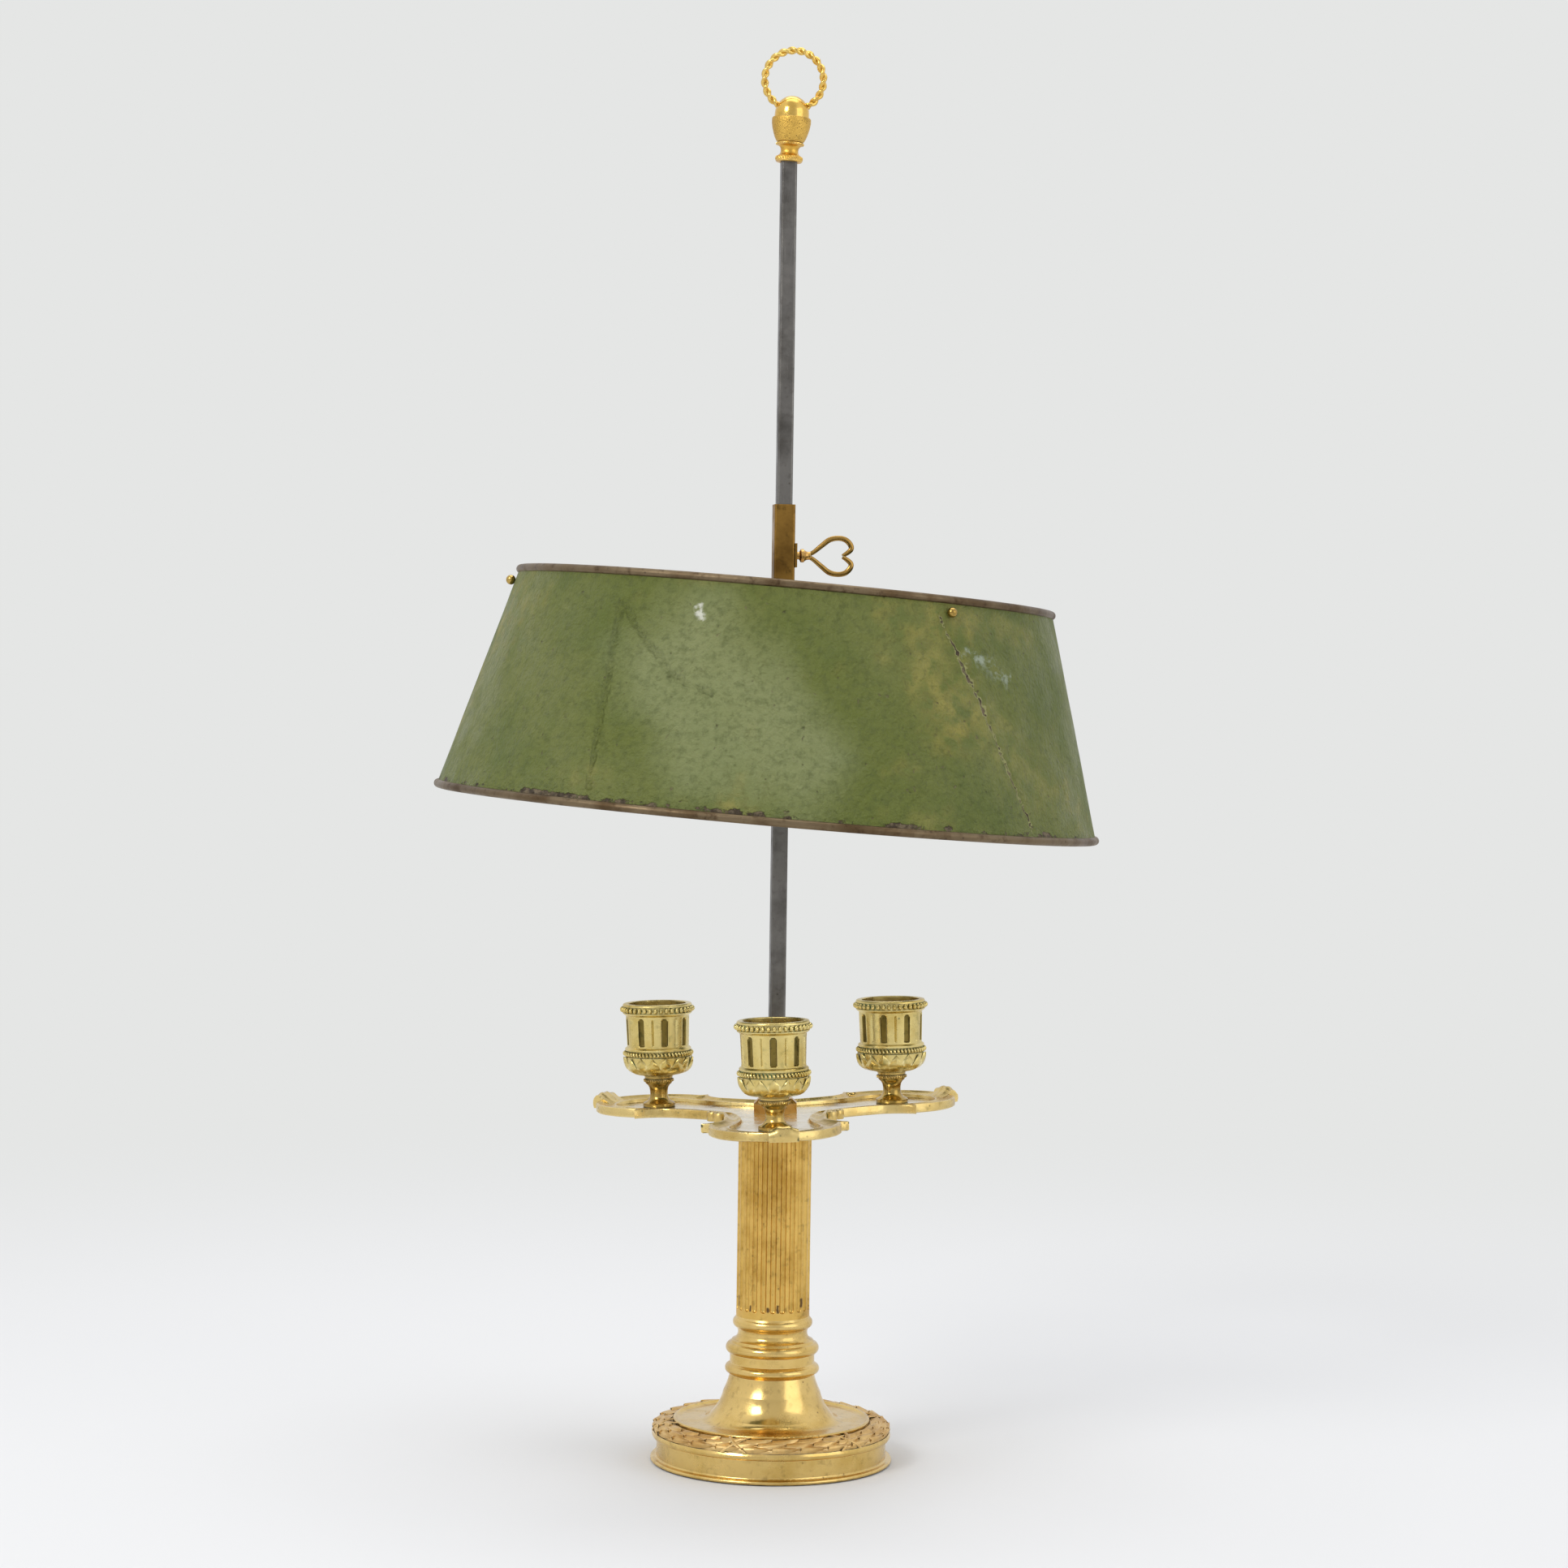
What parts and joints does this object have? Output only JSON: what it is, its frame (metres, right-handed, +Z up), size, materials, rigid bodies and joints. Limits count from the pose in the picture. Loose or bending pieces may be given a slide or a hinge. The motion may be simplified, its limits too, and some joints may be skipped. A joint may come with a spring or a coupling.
{
  "type": "bouillotte lamp",
  "caption": "Candle table lamp: round foot, fluted column, lobed tray with candle cups, square rod with finial, and a conical painted shade sliding on the rod with a heart-shaped clamp key.",
  "frame": {"origin": "centre of the foot's underside, on the axis of the rod", "axes": "+Z up along the rod, -Y toward the viewer of the picture, +X to the viewer's right"},
  "size_m": [0.3064, 0.3072, 0.6529],
  "materials": {
    "polished_brass": "polished, lightly tarnished",
    "matt_gilt": "matt gilt, chased",
    "worn_gilt": "gilt with orange-brown matt ground",
    "bright_gilt": "bright gilt",
    "copper_brass": "coppery, dull",
    "brown_brass": "brown patina",
    "grey_steel": "dull grey",
    "black_iron": "dark iron",
    "green_tole": "mottled olive-green paint on sheet iron",
    "rusty_tole": "worn paint, rusty brown-grey",
    "green_felt": "baize"
  },
  "bodies": {
    "stand": {"base_felt": "green_felt", "base_drum": "polished_brass", "laurel_band": "matt_gilt", "foot_cone": "polished_brass", "clamp_plate": "black_iron", "base_washer": "black_iron", "base_nut": "black_iron", "column_socle": "polished_brass", "column_shaft": "worn_gilt", "tray": "polished_brass", "cup_stem_front": "polished_brass", "cup_stem_right": "polished_brass", "cup_stem_left": "polished_brass", "candle_cup_front": "polished_brass", "candle_cup_right": "polished_brass", "candle_cup_left": "polished_brass", "stem_nuts": "polished_brass", "rod_collar": "copper_brass", "rod": "grey_steel", "finial_foot": "bright_gilt", "finial_cup": "bright_gilt", "finial_dome": "bright_gilt", "finial_ring": "bright_gilt"},
    "shade_carrier": {"pressure_pad": "copper_brass", "sleeve": "brown_brass", "clamp_boss": "brown_brass", "spider_hub": "brown_brass", "spider_arm_front": "black_iron", "spider_arm_back": "black_iron", "spider_arm_left": "black_iron", "shade_screws": "polished_brass", "screw_nuts": "polished_brass", "shade_sheet": "green_tole", "shade_top_bead": "rusty_tole", "shade_top_wire": "black_iron", "shade_bottom_bead": "rusty_tole", "shade_bottom_wire": "black_iron"},
    "clamp_key": {"clamp_screw": "polished_brass", "heart_key": "polished_brass"}
  },
  "joints": [
    {"name": "shade_slide", "type": "slide", "parent": "stand", "child": "shade_carrier", "axis": [0, 0, 1], "range_m": [-0.205, 0.155]},
    {"name": "screw_turn", "type": "hinge", "parent": "shade_carrier", "child": "clamp_key", "pos_m": [0, 0, 0.4195], "axis": [0.9903, 0.1392, 0], "range_deg": [0, 180]}
  ]
}
